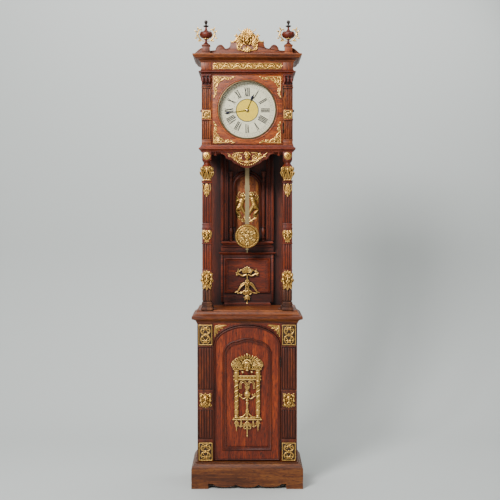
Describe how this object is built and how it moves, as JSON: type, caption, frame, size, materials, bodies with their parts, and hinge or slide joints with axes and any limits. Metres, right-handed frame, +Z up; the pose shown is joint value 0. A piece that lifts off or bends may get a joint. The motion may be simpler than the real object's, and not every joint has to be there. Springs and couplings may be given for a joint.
{
  "type": "tall-case clock",
  "caption": "Tall-case clock with a cupboard base, open trunk with two columns and a swinging pendulum, and a hood holding a round dial.",
  "frame": {"origin": "on the floor, at the middle of the footprint", "axes": "+Z up, the dial faces -Y, +X to the right as seen from the front"},
  "size_m": [0.588, 0.35, 2.452],
  "materials": {
    "case_wood": "polished",
    "panel_wood": "satin",
    "brass": "cast and lacquered",
    "steel": "satin",
    "blued_steel": "blued",
    "silvered_dial": "silvered",
    "glass": "clear"
  },
  "bodies": {
    "case": {"apron": "case_wood", "back_plate": "brass", "backboard": "case_wood", "base_arch_header": "case_wood", "base_floor": "case_wood", "base_sides": "case_wood", "base_stile_left": "case_wood", "base_stile_mounts": "brass", "base_stile_right": "case_wood", "base_top": "case_wood", "bell": "brass", "column_left": "case_wood", "column_mounts": "brass", "column_right": "case_wood", "cornice": "case_wood", "crest_board": "case_wood", "dial": "silvered_dial", "finials": "brass", "frieze": "case_wood", "front_plate": "brass", "hinge_pins": "brass", "hood_ceiling": "case_wood", "hood_floor": "case_wood", "hood_mounts": "brass", "hood_pilasters": "case_wood", "hood_sides": "case_wood", "lower_panel": "panel_wood", "niche_columns": "case_wood", "niche_frame": "panel_wood", "plinth_front": "case_wood", "plinth_sides": "case_wood", "seatboard": "panel_wood", "suspension_cock": "brass", "trunk_mounts": "brass"},
    "base_door": {"base_door": "panel_wood", "base_door_mounts": "brass"},
    "hood_door": {"hood_door": "case_wood", "hood_door_glass": "glass", "hood_door_mounts": "brass"},
    "side_door_left": {"side_door_left": "case_wood", "side_door_fittings_left": "brass"},
    "side_door_right": {"side_door_right": "case_wood", "side_door_fittings_right": "brass"},
    "centre_wheel": {"centre_arbor": "brass", "minute_hand": "blued_steel"},
    "hour_wheel": {"hour_wheel": "brass", "hour_hand": "blued_steel"},
    "minute_wheel": {"minute_wheel": "brass"},
    "third_wheel": {"third_wheel": "brass"},
    "escape_wheel": {"escape_wheel": "brass"},
    "going_barrel": {"going_barrel": "brass"},
    "strike_barrel": {"strike_barrel": "brass"},
    "pin_wheel": {"pin_wheel": "brass"},
    "winding_arbor_left": {"winding_arbor_left": "steel"},
    "winding_arbor_right": {"winding_arbor_right": "steel"},
    "hammer": {"hammer": "steel"},
    "anchor": {"anchor": "steel"},
    "pendulum": {"pendulum_rod": "brass", "pendulum_bob": "brass"},
    "rating_nut": {"rating_nut": "brass"}
  },
  "joints": [
    {"name": "base_door_hinge", "type": "hinge", "parent": "case", "child": "base_door", "pos_m": [0.176, -0.1383, 0.5], "axis": [0, 0, 1], "range_deg": [0, 105]},
    {"name": "hood_door_hinge", "type": "hinge", "parent": "case", "child": "hood_door", "pos_m": [0.187, -0.1383, 1.9895], "axis": [0, 0, 1], "range_deg": [0, 110]},
    {"name": "side_door_left_hinge", "type": "hinge", "parent": "case", "child": "side_door_left", "pos_m": [-0.2413, 0.129, 1.9895], "axis": [0, 0, -1], "range_deg": [0, 100]},
    {"name": "side_door_right_hinge", "type": "hinge", "parent": "case", "child": "side_door_right", "pos_m": [0.2413, 0.129, 1.9895], "axis": [0, 0, 1], "range_deg": [0, 100]},
    {"name": "hands_turn", "type": "hinge", "parent": "case", "child": "centre_wheel", "pos_m": [0, 0, 1.9895], "axis": [0, 1, 0], "continuous": true},
    {"name": "hour_turn", "type": "hinge", "parent": "case", "child": "hour_wheel", "pos_m": [0, 0, 1.9895], "axis": [0, 1, 0], "continuous": true},
    {"name": "minute_wheel_turn", "type": "hinge", "parent": "case", "child": "minute_wheel", "pos_m": [0.02546, 0, 2.01496], "axis": [0, 1, 0], "continuous": true},
    {"name": "third_wheel_turn", "type": "hinge", "parent": "case", "child": "third_wheel", "pos_m": [0.02133, 0, 2.0185], "axis": [0, 1, 0], "continuous": true},
    {"name": "escape_wheel_turn", "type": "hinge", "parent": "case", "child": "escape_wheel", "pos_m": [0, 0, 2.046], "axis": [0, 1, 0], "continuous": true},
    {"name": "going_barrel_turn", "type": "hinge", "parent": "case", "child": "going_barrel", "pos_m": [0.06235, 0, 1.9535], "axis": [0, 1, 0], "continuous": true},
    {"name": "strike_barrel_turn", "type": "hinge", "parent": "case", "child": "strike_barrel", "pos_m": [-0.06235, 0, 1.9535], "axis": [0, 1, 0], "continuous": true},
    {"name": "pin_wheel_turn", "type": "hinge", "parent": "case", "child": "pin_wheel", "pos_m": [-0.05, 0, 2.012], "axis": [0, 1, 0], "continuous": true},
    {"name": "winding_turn_left", "type": "hinge", "parent": "case", "child": "winding_arbor_left", "pos_m": [-0.06235, 0, 1.9535], "axis": [0, 1, 0], "continuous": true},
    {"name": "winding_turn_right", "type": "hinge", "parent": "case", "child": "winding_arbor_right", "pos_m": [0.06235, 0, 1.9535], "axis": [0, 1, 0], "continuous": true},
    {"name": "hammer_swing", "type": "hinge", "parent": "case", "child": "hammer", "pos_m": [-0.06, 0, 2.0855], "axis": [0, 1, 0], "range_deg": [-14, 10]},
    {"name": "pendulum_swing", "type": "hinge", "parent": "case", "child": "pendulum", "pos_m": [0, 0.02, 2.07], "axis": [0, 1, 0], "range_deg": [-3, 3]},
    {"name": "anchor_rock", "type": "hinge", "parent": "case", "child": "anchor", "pos_m": [0, 0.02, 2.07], "axis": [0, 1, 0], "range_deg": [-3, 3]},
    {"name": "rating_nut_turn", "type": "hinge", "parent": "pendulum", "child": "rating_nut", "pos_m": [0, 0.02, 1.26], "axis": [0, 0, 1], "continuous": true}
  ],
  "couplings": [
    {"joint": "hour_turn", "follows": "hands_turn", "ratio": 0.083333},
    {"joint": "minute_wheel_turn", "follows": "hands_turn", "ratio": -1},
    {"joint": "third_wheel_turn", "follows": "hands_turn", "ratio": -9},
    {"joint": "escape_wheel_turn", "follows": "hands_turn", "ratio": 69.3},
    {"joint": "going_barrel_turn", "follows": "hands_turn", "ratio": -0.083333},
    {"joint": "pin_wheel_turn", "follows": "strike_barrel_turn", "ratio": -10.5},
    {"joint": "anchor_rock", "follows": "pendulum_swing", "ratio": 1}
  ]
}
